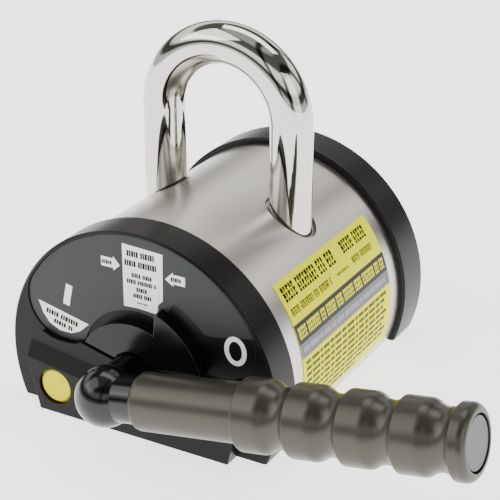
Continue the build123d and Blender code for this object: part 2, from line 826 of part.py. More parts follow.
def make_grip_rod():
    with BuildPart() as rod:
        with BuildSketch(across_grip(rod_seat)):
            Circle(rod_radius)
        extrude(amount=rod_length - rod_seat)
    return rod.part


def make_end_nut():
    """Flat steel disc that closes the grip and screws on to the rod."""
    seat = grip_end - end_pocket_depth
    with BuildPart() as nut:
        with BuildSketch(across_grip(seat)):
            Circle(end_nut_radius)
        extrude(amount=end_nut_thickness)
        chamfer(nut.faces().sort_by(grip_axis)[-1].edges(), end_nut_chamfer)
        with BuildSketch(across_grip(rod_length)):
            Circle(rod_radius)
        extrude(amount=seat - rod_length)
    return nut.part


# ================= latch =================
def lever_pin_plane():
    """Plane across the lever's pin at one of its ends."""
    across = Vector(-lever_out[1], 0, lever_out[0])
    x, z = along_lever(lever_pivot_reach)
    return Plane(origin=Vector(x, lever_y, z) - across * (lever_pin_length / 2),
                 x_dir=(0, 1, 0), z_dir=across)


def make_button():
    face_y = housing_front_y + button_sink
    flange_y = housing_front_y + button_wall + running_gap
    tip_y = lever_y - lever_thickness / 2 - running_gap
    stem_end_y = tip_y - button_stem_radius
    with BuildPart() as button:
        with BuildSketch(facing_front(flange_y)):
            with Locations((button_x, button_z)):
                Circle(button_radius)
        extrude(amount=flange_y - face_y)
        chamfer(button.faces().sort_by(Axis.Y)[0].edges(), button_chamfer)
        for y_back, y_front, radius in ((flange_y + button_flange, flange_y, button_flange_radius),
                                        (stem_end_y, flange_y + button_flange, button_stem_radius)):
            with BuildSketch(facing_front(y_back)):
                with Locations((button_x, button_z)):
                    Circle(radius)
            extrude(amount=y_back - y_front)
        with Locations((button_x, stem_end_y, button_z)):
            Sphere(button_stem_radius)
    return button.part


def make_button_spring():
    back_y = guide_y - running_gap
    front_spring_y = housing_front_y + button_wall + running_gap + button_flange + running_gap
    length = back_y - front_spring_y - 2 * spring_wire
    with BuildPart() as spring:
        with BuildLine() as path:
            Helix(pitch=length / spring_turns, height=length, radius=spring_radius,
                  center=(button_x, back_y - spring_wire, button_z), direction=(0, -1, 0))
        with BuildSketch(Plane(origin=path.line @ 0, z_dir=path.line % 0)):
            Circle(spring_wire)
        sweep(path=path.line)
    return spring.part


def make_button_guide():
    with BuildPart() as guide:
        with BuildSketch(facing_front(guide_y + guide_thickness)):
            with Locations((button_x, button_z)):
                Circle(guide_radius)
                Circle(button_stem_radius + guide_fit, mode=Mode.SUBTRACT)
        extrude(amount=guide_thickness)
    return guide.part


def make_latch_lever():
    outer_reach = lever_reach + lever_overrun
    inner_reach = pawl_reach - pawl_size / 2
    back_y = lever_y + lever_thickness / 2
    with BuildPart() as lever:
        with BuildSketch(facing_front(back_y)):
            with Locations(Location(along_lever((outer_reach + inner_reach) / 2), lever_angle)):
                RectangleRounded(outer_reach - inner_reach, lever_width, lever_corner)
        extrude(amount=lever_thickness)
        with BuildSketch(facing_front(back_y + pawl_depth)):
            with Locations(Location(along_lever(pawl_reach), lever_angle)):
                Rectangle(pawl_size, pawl_size)
        extrude(amount=pawl_depth)
        with BuildSketch(lever_pin_plane()):
            Circle(lever_pin_radius + stem_fit)
        extrude(amount=lever_pin_length, mode=Mode.SUBTRACT)
    return lever.part


def make_lever_pin():
    with BuildPart() as pin:
        with BuildSketch(lever_pin_plane()):
            Circle(lever_pin_radius)
        extrude(amount=lever_pin_length)
    return pin.part


# ================= write every piece =================
os.makedirs("parts", exist_ok=True)
save(make_pole(-1), "pole_left")
save(make_pole(1), "pole_right")
save(make_top_spacer(), "top_spacer")
save(make_bottom_spacer(), "bottom_spacer")
save(make_magnet_row(slot_width, stator_magnet_height, stator_magnet_z, front_cap_back_y,
                     rear_cap_front_y), "stator_magnets")
save(make_shroud(), "shroud")
save(make_side_label(), "side_label")
save(make_front_cap(), "front_cap")
save(make_rear_cap(), "rear_cap")
save(make_cap_screws(recess_y + screw_head_clearance, 1), "front_cap_screws")
save(make_cap_screws(rear_y - screw_head_clearance, -1), "rear_cap_screws")
save(make_dial_plate(), "dial_plate")
save(make_hub_cover(), "hub_cover")
save(make_bail(), "bail")
save(make_bail_pins(), "bail_pins")
save(make_rotor_poles(), "rotor_poles")
save(make_magnet_row(rotor_magnet_width, rotor_magnet_height, rotor_z - rotor_magnet_height / 2,
                     rotor_front_y + rotor_plate, rotor_rear_y - rotor_plate), "rotor_magnets")
save(make_rotor_shaft(), "rotor_shaft")
save(make_rotor_rear_plate(), "rotor_rear_plate")
save(make_rotor_screws(), "rotor_screws")
save(make_detent_disc(), "detent_disc")
save(make_front_bearing(), "front_bearing")
save(make_rear_bearing(), "rear_bearing")
save(make_handle_ball(), "handle_ball")
save(make_stem_pin(), "stem_pin")
save(make_handle_tube(), "handle_tube")
save(make_hand_grip(), "hand_grip")
save(make_grip_rod(), "grip_rod")
save(make_end_nut(), "grip_end_nut")
save(make_button(), "button")
save(make_button_spring(), "button_spring")
save(make_button_guide(), "button_guide")
save(make_latch_lever(), "latch_lever")
save(make_lever_pin(), "lever_pin")
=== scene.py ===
"""Looks of a switchable lifting magnet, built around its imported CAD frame.

Lengths are in metres where a docstring doesn't say millimetres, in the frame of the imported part:
the origin is the centre of the working face, +Z points up to the bail, and -Y points out of the
dial.
"""

import json
import logging
import math
from dataclasses import dataclass, field
from enum import Enum

import bmesh
import bpy
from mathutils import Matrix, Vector

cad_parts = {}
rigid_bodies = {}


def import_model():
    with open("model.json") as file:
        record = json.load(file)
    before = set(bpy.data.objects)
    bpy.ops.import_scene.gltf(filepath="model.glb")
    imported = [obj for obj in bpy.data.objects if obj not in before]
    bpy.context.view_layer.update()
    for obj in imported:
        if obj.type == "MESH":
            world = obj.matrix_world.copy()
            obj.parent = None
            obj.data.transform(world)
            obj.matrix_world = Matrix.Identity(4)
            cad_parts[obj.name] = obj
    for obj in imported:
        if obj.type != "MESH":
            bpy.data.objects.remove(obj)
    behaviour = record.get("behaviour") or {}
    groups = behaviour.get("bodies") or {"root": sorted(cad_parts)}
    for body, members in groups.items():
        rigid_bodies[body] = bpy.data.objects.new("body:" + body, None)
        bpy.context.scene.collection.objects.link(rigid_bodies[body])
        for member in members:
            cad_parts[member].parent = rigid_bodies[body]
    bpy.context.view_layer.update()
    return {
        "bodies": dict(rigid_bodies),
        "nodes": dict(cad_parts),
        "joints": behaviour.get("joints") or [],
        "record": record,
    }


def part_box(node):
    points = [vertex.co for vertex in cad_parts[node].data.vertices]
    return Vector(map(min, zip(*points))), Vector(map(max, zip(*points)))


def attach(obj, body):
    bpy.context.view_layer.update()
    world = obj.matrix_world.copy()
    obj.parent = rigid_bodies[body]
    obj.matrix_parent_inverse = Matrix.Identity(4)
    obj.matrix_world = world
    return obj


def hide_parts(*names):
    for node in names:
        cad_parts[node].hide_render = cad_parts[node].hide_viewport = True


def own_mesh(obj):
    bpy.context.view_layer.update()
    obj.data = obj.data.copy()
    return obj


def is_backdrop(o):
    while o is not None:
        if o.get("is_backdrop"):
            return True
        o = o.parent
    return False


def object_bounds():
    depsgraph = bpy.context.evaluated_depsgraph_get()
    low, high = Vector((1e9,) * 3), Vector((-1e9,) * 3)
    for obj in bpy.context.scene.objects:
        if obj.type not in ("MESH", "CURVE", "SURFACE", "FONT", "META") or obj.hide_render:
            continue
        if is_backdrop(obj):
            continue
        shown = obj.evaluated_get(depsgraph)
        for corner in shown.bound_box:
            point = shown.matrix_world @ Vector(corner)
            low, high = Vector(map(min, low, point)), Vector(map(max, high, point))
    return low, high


LOG = logging.getLogger("lifting_magnet")
MM = 0.001
BEVEL_SAMPLES = 4
BRUSH_STRETCH = 0.03      # brushing runs along Y
COAT_ROUGHNESS = 0.08
ROUGHNESS_SPREAD = 0.15   # share by which the roughness wanders
BUMP_STRENGTH = 0.6
DRIFT_SCALE = 38.0        # slow noise, repeats per metre
WEAR_HIGHLIGHT_SCALE = 220.0        # breaks in the worn and painted-highlight edges, repeats per metre
WEAR_HIGHLIGHT_START = 0.995        # how far two normals agree where wear and painted edge highlight begin
WEAR_HIGHLIGHT_FULL = 0.85
LETTER_GAP = 0.16         # shares of the pitch
WORD_GAP = 0.6

Point = tuple[float, float]
Colour = tuple[float, float, float]


class Body(Enum):
    """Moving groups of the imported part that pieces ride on."""

    ROOT = "root"


class Surface(Enum):
    """How a finish breaks up its plain colour."""

    BRUSHED = "brushed"
    MOULDED = "moulded"
    POLISHED = "polished"
    ENAMEL = "enamel"


@dataclass(frozen=True)
class Finish:
    """One surface finish.

    Attributes:
        name: Name of the material.
        colour: Base colour, linear.
        surface: Texture of the surface.
        roughness: Mean roughness.
        metallic: 1 for bare metal.
        grain: Texture repeats per metre.
        bump: Height of the grain, in metres.
        vary: Share by which the colour wanders.
        wear_and_highlight: Strength of the paler edges, partly wear and partly a painted highlight.
        worn_and_highlit: Colour of the paler edges, worn and painted highlight alike.
        coat: Weight of a clear coat.
        edge: Radius of the softened edges, in metres.
        gloss: Specular level of a painted or moulded surface.
    """

    name: str
    colour: Colour
    surface: Surface
    roughness: float
    metallic: float = 0.0
    grain: float = 900.0
    bump: float = 0.00001
    vary: float = 0.06
    wear_and_highlight: float = 0.0
    worn_and_highlit: Colour = (0.3, 0.3, 0.3)
    coat: float = 0.0
    edge: float = 0.0004
    gloss: float = 0.5


STAINLESS = Finish("stainless", (0.63, 0.60, 0.56), Surface.BRUSHED, 0.30, 1.0,
                   grain=1400.0, bump=0.000004, vary=0.05)
CHROME = Finish("chrome", (0.60, 0.585, 0.54), Surface.POLISHED, 0.05, 1.0,
                grain=60.0, bump=0.000006, vary=0.02)
# The cap's paler edges are mostly a painted highlight, the bright line along the bar's front top
# edge.
CAP_PAINT = Finish("cap_paint", (0.0065, 0.0060, 0.0058), Surface.ENAMEL, 0.32,
                   bump=0.000012, wear_and_highlight=0.6, worn_and_highlit=(0.16, 0.155, 0.15), gloss=0.16)
DIAL_PAINT = Finish("dial_paint", (0.033, 0.0345, 0.036), Surface.ENAMEL, 0.42, bump=0.000005,
                    gloss=0.22)
COVER_GLOSS = Finish("cover_gloss", (0.004, 0.0037, 0.004), Surface.ENAMEL, 0.20,
                     bump=0.000004, wear_and_highlight=0.5, worn_and_highlit=(0.30, 0.30, 0.30), gloss=0.28)
GLOSS_BLACK = Finish("gloss_black", (0.002, 0.0024, 0.0028), Surface.MOULDED, 0.16,
                     grain=500.0, bump=0.000004, coat=0.15, edge=0.0006, gloss=0.4)
OLIVE_SATIN = Finish("olive_satin", (0.066, 0.0645, 0.050), Surface.BRUSHED, 0.33, 0.7,
                     grain=1100.0, bump=0.000003, wear_and_highlight=0.25, worn_and_highlit=(0.30, 0.29, 0.25))
END_STEEL = Finish("end_steel", (0.085, 0.087, 0.09), Surface.BRUSHED, 0.38, 0.8)
YELLOW_PLASTIC = Finish("button_yellow", (0.80, 0.70, 0.0), Surface.MOULDED, 0.34,
                        bump=0.000006, vary=0.03, edge=0.0006, gloss=0.08)
LABEL_FILM = Finish("label_film", (0.90, 0.90, 0.0), Surface.MOULDED, 0.38,
                    bump=0.000002, vary=0.02, edge=0.0001, gloss=0.06)
PLATED_STEEL = Finish("plated_steel", (0.42, 0.42, 0.41), Surface.BRUSHED, 0.38, 1.0,
                      grain=700.0, bump=0.000008)
MAGNET_NICKEL = Finish("magnet_nickel", (0.55, 0.52, 0.47), Surface.POLISHED, 0.25, 1.0)
BRASS = Finish("brass", (0.62, 0.44, 0.19), Surface.BRUSHED, 0.34, 1.0)
BRONZE = Finish("bronze", (0.42, 0.27, 0.14), Surface.BRUSHED, 0.42, 1.0)
SCREW_STEEL = Finish("screw_steel", (0.12, 0.12, 0.125), Surface.BRUSHED, 0.36, 0.9)
PRINT_WHITE = Finish("print_white", (0.95, 0.95, 0.95), Surface.ENAMEL, 0.5, vary=0.03,
                     bump=0.000002, edge=0.00002)
PRINT_BLACK = Finish("print_black", (0.002, 0.002, 0.002), Surface.ENAMEL, 0.34, vary=0.05,
                     bump=0.000002, edge=0.00002, gloss=0.25)
PRINT_GREY = Finish("print_grey", (0.16, 0.155, 0.17), Surface.ENAMEL, 0.5, vary=0.08,
                    bump=0.000002, edge=0.00002)
PRINT_INK = Finish("print_ink", (0.012, 0.012, 0.003), Surface.ENAMEL, 0.5, vary=0.2,
                   bump=0.000002, edge=0.00002, gloss=0.1)
PRINT_PALE = Finish("print_pale", (0.36, 0.35, 0.40), Surface.ENAMEL, 0.5, vary=0.05,
                    bump=0.000002, edge=0.00002)

CAD_FINISHES = {f.name: f for f in (
    STAINLESS, CHROME, CAP_PAINT, DIAL_PAINT, COVER_GLOSS, GLOSS_BLACK, OLIVE_SATIN, END_STEEL,
    YELLOW_PLASTIC, LABEL_FILM, PLATED_STEEL, MAGNET_NICKEL, BRASS, BRONZE, SCREW_STEEL)}


class GroupBuilder:
    """Builds one shader node group with named inputs and outputs."""

    def __init__(self, name: str, inputs: dict[str, float], outputs: dict[str, str]) -> None:
        """Starts the group.

        Args:
            name: Name of the group.
            inputs: Float inputs and their defaults.
            outputs: Output names and their socket types.
        """
        self.tree = bpy.data.node_groups.new(name, "ShaderNodeTree")
        for key, value in inputs.items():
            socket = self.tree.interface.new_socket(key, in_out="INPUT",
                                                    socket_type="NodeSocketFloat")
            socket.default_value = value
        for key, kind in outputs.items():
            self.tree.interface.new_socket(key, in_out="OUTPUT", socket_type=kind)
        self.source = self.tree.nodes.new("NodeGroupInput")
        self.sink = self.tree.nodes.new("NodeGroupOutput")

    def node(self, kind: str, **settings: object) -> bpy.types.Node:
        """Adds a node.

        Args:
            kind: Type of the node.
            settings: Attributes to set on it.

        Returns:
            The new node.
        """
        made = self.tree.nodes.new(kind)
        for key, value in settings.items():
            setattr(made, key, value)
        return made

    def link(self, out: bpy.types.NodeSocket, into: bpy.types.NodeSocket) -> None:
        """Joins two sockets.

        Args:
            out: Socket that gives the value.
            into: Socket that takes it.

        Returns:
            None.
        """
        self.tree.links.new(out, into)


def make_grain_group() -> bpy.types.NodeTree:
    """Makes the shared grain: fine noise for height, and slow noise for colour and roughness.

    Returns:
        The node group, with outputs Height and Drift.
    """
    group = GroupBuilder("surface_grain", {"Scale": 900.0, "Stretch": 1.0},
                         {"Height": "NodeSocketFloat", "Drift": "NodeSocketFloat"})
    place = group.node("ShaderNodeTexCoord")
    squeeze = group.node("ShaderNodeCombineXYZ")
    squeeze.inputs["X"].default_value = 1.0
    squeeze.inputs["Z"].default_value = 1.0
    group.link(group.source.outputs["Stretch"], squeeze.inputs["Y"])
    stretched = group.node("ShaderNodeVectorMath", operation="MULTIPLY")
    group.link(place.outputs["Object"], stretched.inputs[0])
    group.link(squeeze.outputs["Vector"], stretched.inputs[1])
    fine = group.node("ShaderNodeTexNoise")
    fine.inputs["Detail"].default_value = 4.0
    group.link(stretched.outputs["Vector"], fine.inputs["Vector"])
    group.link(group.source.outputs["Scale"], fine.inputs["Scale"])
    slow = group.node("ShaderNodeTexNoise")
    slow.inputs["Scale"].default_value = DRIFT_SCALE
    slow.inputs["Detail"].default_value = 3.0
    group.link(place.outputs["Object"], slow.inputs["Vector"])
    group.link(fine.outputs["Fac"], group.sink.inputs["Height"])
    group.link(slow.outputs["Fac"], group.sink.inputs["Drift"])
    return group.tree


def make_edge_group() -> bpy.types.NodeTree:
    """Makes the shared mask of paler outer edges, broken up by noise: partly wear, partly a painted
    highlight.

    Returns:
        The node group, with output Mask.
    """
    group = GroupBuilder("edge_wear_and_highlight", {"Radius": 0.0005, "Strength": 0.3},
                         {"Mask": "NodeSocketFloat"})
    soft = group.node("ShaderNodeBevel", samples=BEVEL_SAMPLES)
    group.link(group.source.outputs["Radius"], soft.inputs["Radius"])
    flat = group.node("ShaderNodeNewGeometry")
    same = group.node("ShaderNodeVectorMath", operation="DOT_PRODUCT")
    group.link(soft.outputs["Normal"], same.inputs[0])
    group.link(flat.outputs["Normal"], same.inputs[1])
    edge = group.node("ShaderNodeMapRange")
    edge.inputs["From Min"].default_value = WEAR_HIGHLIGHT_START
    edge.inputs["From Max"].default_value = WEAR_HIGHLIGHT_FULL
    group.link(same.outputs["Value"], edge.inputs["Value"])
    place = group.node("ShaderNodeTexCoord")
    breaks = group.node("ShaderNodeTexNoise")
    breaks.inputs["Scale"].default_value = WEAR_HIGHLIGHT_SCALE
    group.link(place.outputs["Object"], breaks.inputs["Vector"])
    broken = group.node("ShaderNodeMath", operation="MULTIPLY")
    group.link(edge.outputs["Result"], broken.inputs[0])
    group.link(breaks.outputs["Fac"], broken.inputs[1])
    mask = group.node("ShaderNodeMath", operation="MULTIPLY", use_clamp=True)
    group.link(broken.outputs["Value"], mask.inputs[0])
    group.link(group.source.outputs["Strength"], mask.inputs[1])
    group.link(mask.outputs["Value"], group.sink.inputs["Mask"])
    return group.tree


@dataclass
class Paintbox:
    """Turns finishes into materials, each made once.

    Attributes:
        grain: Shared grain group.
        edges: Shared group of paler edges, partly wear and partly a painted highlight.
        made: Materials by finish name.
    """

    grain: bpy.types.NodeTree = field(default_factory=make_grain_group)
    edges: bpy.types.NodeTree = field(default_factory=make_edge_group)
    made: dict[str, bpy.types.Material] = field(default_factory=dict)

    def material(self, finish: Finish) -> bpy.types.Material:
        """Gives the material of a finish.

        Args:
            finish: Finish to realise.

        Returns:
            The material.
        """
        if finish.name not in self.made:
            self.made[finish.name] = self._build(finish)
        return self.made[finish.name]

    def _build(self, finish: Finish) -> bpy.types.Material:
        """Builds one material.

        Args:
            finish: Finish to realise.

        Returns:
            The new material.
        """
        material = bpy.data.materials.new("mat_" + finish.name)
        material.use_nodes = True
        nodes = material.node_tree.nodes
        links = material.node_tree.links
        shader = nodes["Principled BSDF"]
        shader.inputs["Metallic"].default_value = finish.metallic
        shader.inputs["Specular IOR Level"].default_value = finish.gloss
        shader.inputs["Coat Weight"].default_value = finish.coat
        shader.inputs["Coat Roughness"].default_value = COAT_ROUGHNESS

        grain = nodes.new("ShaderNodeGroup")
        grain.node_tree = self.grain
        grain.inputs["Scale"].default_value = finish.grain
        brushed = finish.surface is Surface.BRUSHED
        grain.inputs["Stretch"].default_value = BRUSH_STRETCH if brushed else 1.0

        shade = nodes.new("ShaderNodeMapRange")
        shade.inputs["To Min"].default_value = 1.0 - finish.vary
        shade.inputs["To Max"].default_value = 1.0 + finish.vary
        links.new(grain.outputs["Drift"], shade.inputs["Value"])
        tint = nodes.new("ShaderNodeVectorMath")
        tint.operation = "SCALE"
        tint.inputs[0].default_value = finish.colour
        links.new(shade.outputs["Result"], tint.inputs["Scale"])
        colour = tint.outputs["Vector"]
        # Paler outer edges, partly wear and partly a painted highlight along the edges.
        if finish.wear_and_highlight > 0:
            worn_and_highlit = nodes.new("ShaderNodeGroup")
            worn_and_highlit.node_tree = self.edges
            worn_and_highlit.inputs["Radius"].default_value = finish.edge
            worn_and_highlit.inputs["Strength"].default_value = finish.wear_and_highlight
            mix = nodes.new("ShaderNodeMix")
            mix.data_type = "RGBA"
            mix.inputs["B"].default_value = (*finish.worn_and_highlit, 1.0)
            links.new(worn_and_highlit.outputs["Mask"], mix.inputs["Factor"])
            links.new(colour, mix.inputs["A"])
            colour = mix.outputs["Result"]
        links.new(colour, shader.inputs["Base Color"])

        rough = nodes.new("ShaderNodeMapRange")
        rough.inputs["To Min"].default_value = finish.roughness * (1.0 - ROUGHNESS_SPREAD)
        rough.inputs["To Max"].default_value = finish.roughness * (1.0 + ROUGHNESS_SPREAD)
        links.new(grain.outputs["Drift"], rough.inputs["Value"])
        links.new(rough.outputs["Result"], shader.inputs["Roughness"])

        soft = nodes.new("ShaderNodeBevel")
        soft.samples = BEVEL_SAMPLES
        soft.inputs["Radius"].default_value = finish.edge
        bump = nodes.new("ShaderNodeBump")
        bump.inputs["Strength"].default_value = BUMP_STRENGTH
        bump.inputs["Distance"].default_value = finish.bump
        links.new(grain.outputs["Height"], bump.inputs["Height"])
        links.new(soft.outputs["Normal"], bump.inputs["Normal"])
        links.new(bump.outputs["Normal"], shader.inputs["Normal"])
        return material


def make_piece(name: str, mesh: bmesh.types.BMesh, material: bpy.types.Material,
               body: Body) -> bpy.types.Object:
    """Turns a finished mesh into a piece of the object.

    Args:
        name: Name of the piece.
        mesh: Mesh in the row frame; it is freed.
        material: Material of the piece.
        body: Body it moves with.

    Returns:
        The new object.
    """
    data = bpy.data.meshes.new(name)
    mesh.to_mesh(data)
    mesh.free()
    data.materials.append(material)
    made = bpy.data.objects.new(name, data)
    bpy.context.scene.collection.objects.link(made)
    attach(made, body.value)
    LOG.info("piece %s rides on %s", name, body.value)
    return made


def turned(points: list[Point], centre: Point, degrees: float) -> list[Point]:
    """Turns points about a centre.

    Args:
        points: Points to turn.
        centre: Centre of the turn.
        degrees: Angle, positive anticlockwise.

    Returns:
        The turned points.
    """
    cos_a = math.cos(math.radians(degrees))
    sin_a = math.sin(math.radians(degrees))
    return [(centre[0] + x * cos_a - z * sin_a, centre[1] + x * sin_a + z * cos_a)
            for x, z in points]


def arc(centre: Point, radius: float, start: float, end: float, steps: int = 24) -> list[Point]:
    """Points along an arc.

    Args:
        centre: Centre of the arc.
        radius: Its radius.
        start: First angle in degrees.
        end: Last angle in degrees.
        steps: Number of runs.

    Returns:
        The points, both ends included.
    """
    angles = [math.radians(start + (end - start) * i / steps) for i in range(steps + 1)]
    return [(centre[0] + radius * math.cos(a), centre[1] + radius * math.sin(a)) for a in angles]


def dashes(start: float, end: float, pitch: float) -> list[Point]:
    """Breaks a printed line into blocks of uneven width, with a wider gap after each group.

    Args:
        start: Start of the line.
        end: End of the line.
        pitch: Mean width of a block with its gap.

    Returns:
        Start and end of each block.
    """
    widths = (0.62, 0.50, 0.70, 0.44, 0.64, 0.56, 0.48, 0.72, 0.54)
    groups = (5, 8, 3, 6, 4, 7)
    blocks = []
    place = start
    group = 0
    left = groups[0]
    index = 0
    while True:
        width = widths[index % len(widths)] * pitch
        if place + width > end:
            return blocks or [(start, end)]
        blocks.append((place, place + width))
        place += width + LETTER_GAP * pitch
        index += 1
        left -= 1
        if left == 0:
            group += 1
            left = groups[group % len(groups)]
            place += WORD_GAP * pitch


@dataclass
class DialPrint:
    """Printing on the dial, in millimetres from the centre of the round cap.

    Attributes:
        paints: Source of the materials.
        centre_z: Height of the cap's centre above the working face.
        lift: Thickness of the first ink layer.
        guard_centre: Centre of the guard.
        guard_outer: Radius of the guard's wall.
        band_outer: Outer radius of the black band round it.
        band_end: Angle where the band stops, in degrees.
    """

    paints: Paintbox
    centre_z: float = 23.5
    lift: float = 0.04
    guard_centre: Point = (0.0, 2.3)
    guard_outer: float = 33.1
    band_outer: float = 41.0
    band_end: float = 65.4

    def ink(self, name: str, outlines: list[list[Point]], finish: Finish,
            layer: int = 1) -> bpy.types.Object:
        """Lays flat printed shapes on the dial plate, as one piece.

        Args:
            name: Name of the piece.
            outlines: Corners of each shape, as x and z from the cap's centre.
            finish: Ink.
            layer: Layers above the plate.

        Returns:
            The printed piece.
        """
        low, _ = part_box("dial_plate")
        y = low.y - self.lift * layer * MM
        mesh = bmesh.new()
        for outline in outlines:
            mesh.faces.new([mesh.verts.new((x * MM, y, (z + self.centre_z) * MM))
                            for x, z in outline])
        bmesh.ops.triangulate(mesh, faces=mesh.faces[:])
        for face in mesh.faces:
            face.normal_update()
            if face.normal.y > 0:
                face.normal_flip()
        return make_piece(name, mesh, self.paints.material(finish), Body.ROOT)

    def line(self, name: str, centre: Point, size: Point, tilt: float, pitch: float = 0.0,
             finish: Finish = PRINT_INK, layer: int = 2) -> bpy.types.Object:
        """Prints one straight line, whole or broken into blocks.

        Args:
            name: Name of the piece.
            centre: Middle of the line.
            size: Length and height.
            tilt: Turn in degrees.
            pitch: Mean pitch of the blocks, or 0 for a whole bar.
            finish: Ink.
            layer: Layers above the plate.

        Returns:
            The printed line.
        """
        half_l = size[0] / 2
        half_h = size[1] / 2
        spans = dashes(-half_l, half_l, pitch) if pitch else [(-half_l, half_l)]
        shapes = [turned([(a, -half_h), (b, -half_h), (b, half_h), (a, half_h)], centre, tilt)
                  for a, b in spans]
        return self.ink(name, shapes, finish, layer)

    def ring(self, name: str, centre: Point, radii: Point, width: float, tilt: float,
             finish: Finish) -> None:
        """Prints an upright oval ring in two halves.

        Args:
            name: Stem of the names.
            centre: Middle of the ring.
            radii: Outer half-width and half-height.
            width: Width of the stroke.
            tilt: Turn in degrees.
            finish: Ink.

        Returns:
            None.
        """
        for half, start in (("upper", 0.0), ("lower", 180.0)):
            outer = [(radii[0] * x, radii[1] * z)
                     for x, z in arc((0, 0), 1.0, start, start + 180.0)]
            inner = [((radii[0] - width) * x, (radii[1] - width) * z)
                     for x, z in arc((0, 0), 1.0, start + 180.0, start)]
            self.ink(f"{name}_{half}", [turned(outer + inner, centre, tilt)], finish, 3)

    def build(self) -> None:
        """Prints the whole dial.

        Returns:
            None.
        """
        zone = arc((0, 0), self.band_outer, self.band_end, 41.5)
        zone += [(35.2, 27.2), (53.4, 30.9), (56.9, 24.0), (58.4, 17.2), (57.0, 12.6)]
        zone += arc(self.guard_centre, self.guard_outer - 0.2, 14.0, self.band_end)
        self.ink("print_off_zone", [zone], PRINT_BLACK)
        self.ring("print_off_mark", (45.0, 23.6), (5.0, 6.3), 2.1, 5.0, PRINT_WHITE)

        segment = [(-49.3, 23.2), (-24.4, 17.7), (-28.9, 13.4), (-33.1, 11.5), (-39.1, 11.4),
                   (-44.1, 13.7), (-47.2, 17.6)]
        self.ink("print_on_segment", [segment], PRINT_WHITE)
        self.line("print_segment_line_1", (-37.4, 17.7), (16.5, 2.2), -12.0, 1.7)
        self.line("print_segment_line_2", (-36.8, 14.2), (10.5, 2.0), -12.0, 1.7)
        self.line("print_on_mark", (-34.2, 28.9), (3.2, 9.6), -12.0, finish=PRINT_WHITE, layer=1)

        panel = [(-6.5, 58.3), (12.4, 57.4), (12.0, 37.2), (9.7, 34.9), (9.4, 30.6), (6.0, 30.9),
                 (0.0, 31.2), (-6.5, 30.8)]
        self.ink("print_panel", [panel], PRINT_WHITE)
        rows = ((54.6, 13.6, 2.6, 1.5), (50.4, 16.0, 2.6, 1.5), (45.4, 9.6, 1.9, 1.2),
                (42.5, 14.2, 1.9, 1.2), (39.4, 5.4, 1.9, 1.4), (36.6, 8.6, 1.9, 1.2),
                (33.6, 5.0, 0.7, 0.6))
        for row, (z, length, height, pitch) in enumerate(rows):
            self.line(f"print_panel_line_{row}", (2.4, z), (length, height), 0.0, pitch)
        left = [(-16.8, 46.4), (-11.0, 46.4), (-11.0, 45.3), (-7.8, 48.2), (-11.0, 51.6),
                (-11.0, 50.6), (-16.8, 50.6)]
        right = [(22.5, 49.9), (17.0, 49.9), (17.0, 50.8), (13.3, 47.2), (17.0, 44.8), (17.0, 45.8),
                 (22.5, 45.8)]
        self.ink("print_arrows", [left, right], PRINT_WHITE)
        self.line("print_arrow_line_left", (-13.3, 48.4), (6.0, 1.7), 0.0, 1.3)
        self.line("print_arrow_line_right", (19.0, 47.8), (6.0, 1.7), 0.0, 1.3)


